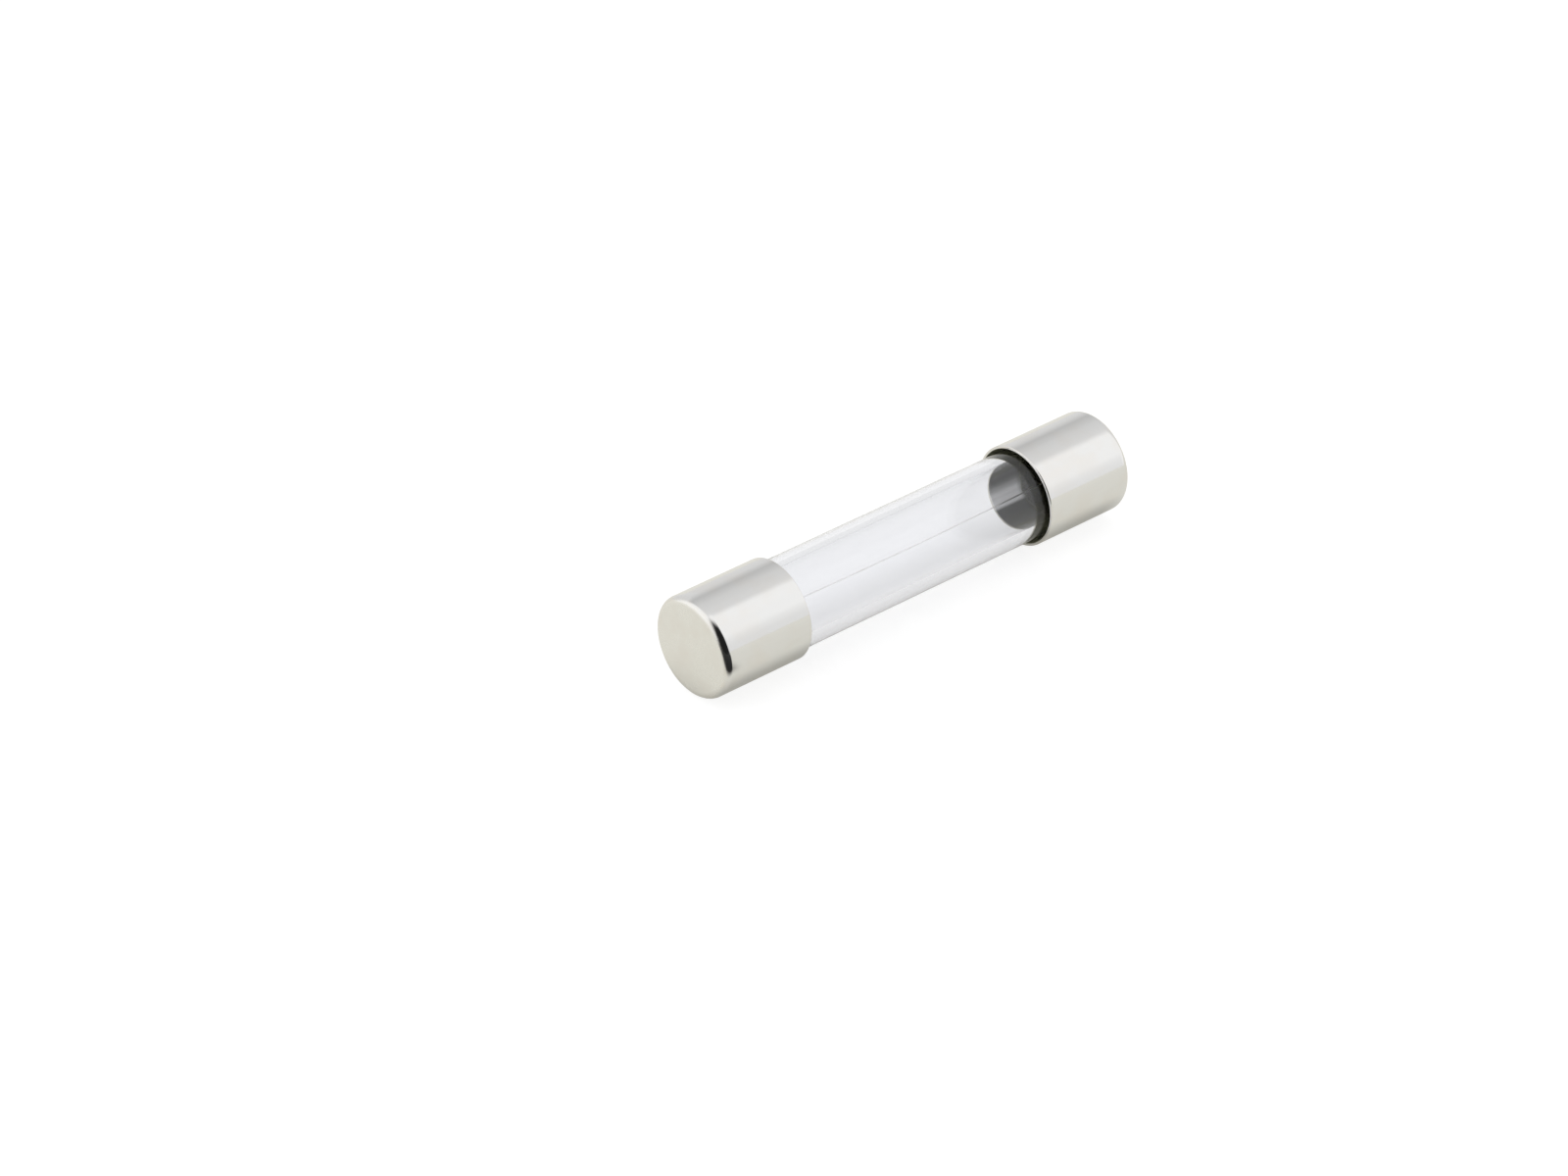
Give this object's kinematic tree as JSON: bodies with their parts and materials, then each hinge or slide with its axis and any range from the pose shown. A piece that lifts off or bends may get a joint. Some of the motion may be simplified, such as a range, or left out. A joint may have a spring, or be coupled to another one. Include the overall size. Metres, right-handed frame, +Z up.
{
  "type": "cartridge fuse",
  "caption": "Glass tube cartridge fuse with drawn metal end caps, a fine fuse wire along its axis, and solder and cement in each cap.",
  "frame": {"origin": "middle of the fuse, on its axis", "axes": "+X along the fuse's axis towards the right cap, +Z up from the surface that the fuse lies on"},
  "size_m": [0.0318, 0.0064, 0.0064],
  "materials": {
    "nickel_plate": "polished",
    "clear_glass": "gloss",
    "tin_solder": "satin",
    "fuse_wire": "gloss",
    "cement": "matte"
  },
  "bodies": {
    "root": {"glass_tube": "clear_glass", "end_cap_left": "nickel_plate", "end_cap_right": "nickel_plate", "fuse_wire": "fuse_wire", "solder_left": "tin_solder", "solder_right": "tin_solder", "cement_ring_left": "cement", "cement_ring_right": "cement"}
  },
  "joints": []
}
